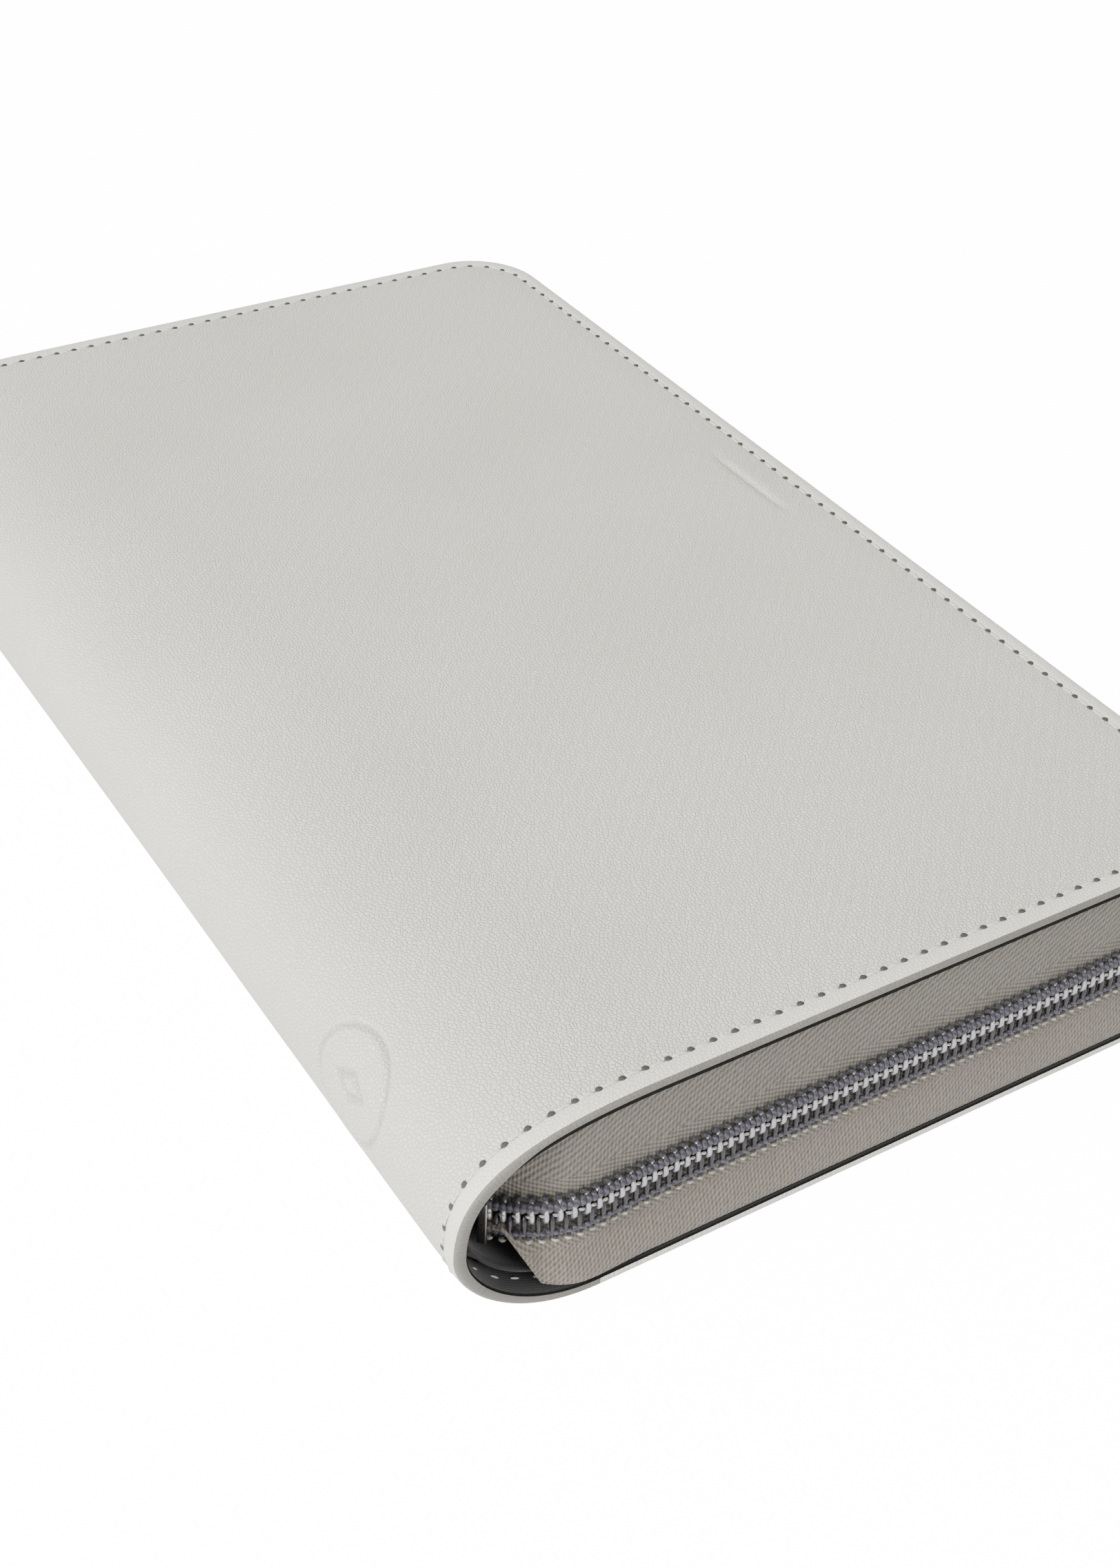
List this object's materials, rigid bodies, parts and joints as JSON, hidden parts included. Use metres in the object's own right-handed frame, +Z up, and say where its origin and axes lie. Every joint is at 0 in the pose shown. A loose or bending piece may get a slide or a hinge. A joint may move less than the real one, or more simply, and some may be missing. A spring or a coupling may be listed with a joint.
{
  "type": "prayer book",
  "caption": "Zip-round prayer book: soft grained wrap cover with a round spine, stitched edges and a coil zip on its open sides, shut round a book block.",
  "frame": {"origin": "middle of the outline at the level of the surface the book lies on", "axes": "+X from the spine to the fore edge, +Y from the tail to the head of the book, +Z up through the closed book"},
  "size_m": [0.1182, 0.195, 0.03],
  "materials": {
    "cover_leather": "fine-grained bonded leather, light warm grey, satin",
    "cover_board": "grey board, hidden",
    "lining": "near-black woven lining",
    "zip_tape": "herringbone-woven polyester tape, warm grey",
    "zip_coil": "pewter-coloured metallised coil",
    "zip_metal": "nickel-plated zinc alloy",
    "paper": "cream book paper, uncoated",
    "mull": "starched open-weave cotton",
    "endband": "woven cotton band"
  },
  "bodies": {
    "back_cover": {"back_cover_skin": "cover_leather", "back_cover_board": "cover_board", "lower_spine_stiffener": "cover_board", "back_cover_lining": "lining", "lower_zip_tape": "zip_tape", "lower_zip_coil": "zip_coil", "upper_tape_tail_end": "zip_tape", "upper_tape_head_end": "zip_tape", "upper_coil_tail_end": "zip_coil", "upper_coil_head_end": "zip_coil", "bottom_stop": "zip_metal", "upper_top_stop": "zip_metal", "lower_top_stop": "zip_metal", "text_block": "paper", "rear_flyleaf": "paper", "spine_mull": "mull", "headband": "endband", "tailband": "endband"},
    "front_cover": {"front_cover_skin": "cover_leather", "front_cover_board": "cover_board", "upper_spine_stiffener": "cover_board", "front_cover_lining": "lining", "upper_zip_tape": "zip_tape", "upper_zip_coil": "zip_coil"},
    "front_flyleaf": {"front_flyleaf": "paper"},
    "page_section_1": {"page_section_1": "paper"},
    "page_section_2": {"page_section_2": "paper"},
    "slider": {"slider_body": "zip_metal"},
    "pull": {"pull_tab": "zip_metal"}
  },
  "joints": [
    {"name": "front_cover_hinge", "type": "hinge", "parent": "back_cover", "child": "front_cover", "pos_m": [-0.0594, 0, 0.0153], "axis": [0, -1, 0], "range_deg": [0, 179.5]},
    {"name": "front_flyleaf_turn", "type": "hinge", "parent": "back_cover", "child": "front_flyleaf", "pos_m": [-0.0486, 0, 0.0263], "axis": [0, -1, 0], "range_deg": [0, 192]},
    {"name": "page_section_1_turn", "type": "hinge", "parent": "back_cover", "child": "page_section_1", "pos_m": [-0.0486, 0, 0.0263], "axis": [0, -1, 0], "range_deg": [0, 188]},
    {"name": "page_section_2_turn", "type": "hinge", "parent": "back_cover", "child": "page_section_2", "pos_m": [-0.0486, 0, 0.0263], "axis": [0, -1, 0], "range_deg": [0, 184]},
    {"name": "zip_slide", "type": "slide", "parent": "back_cover", "child": "slider", "axis": [1, 0, 0], "range_m": [0, 0.075]},
    {"name": "pull_pivot", "type": "hinge", "parent": "slider", "child": "pull", "pos_m": [-0.0341, 0.09575, 0.0132], "axis": [0, 0, 1], "range_deg": [0, 175]}
  ],
  "couplings": [
    {"joint": "front_flyleaf_turn", "follows": "front_cover_hinge", "ratio": 1.0696},
    {"joint": "page_section_1_turn", "follows": "front_cover_hinge", "ratio": 1.0473},
    {"joint": "page_section_2_turn", "follows": "front_cover_hinge", "ratio": 1.025}
  ]
}
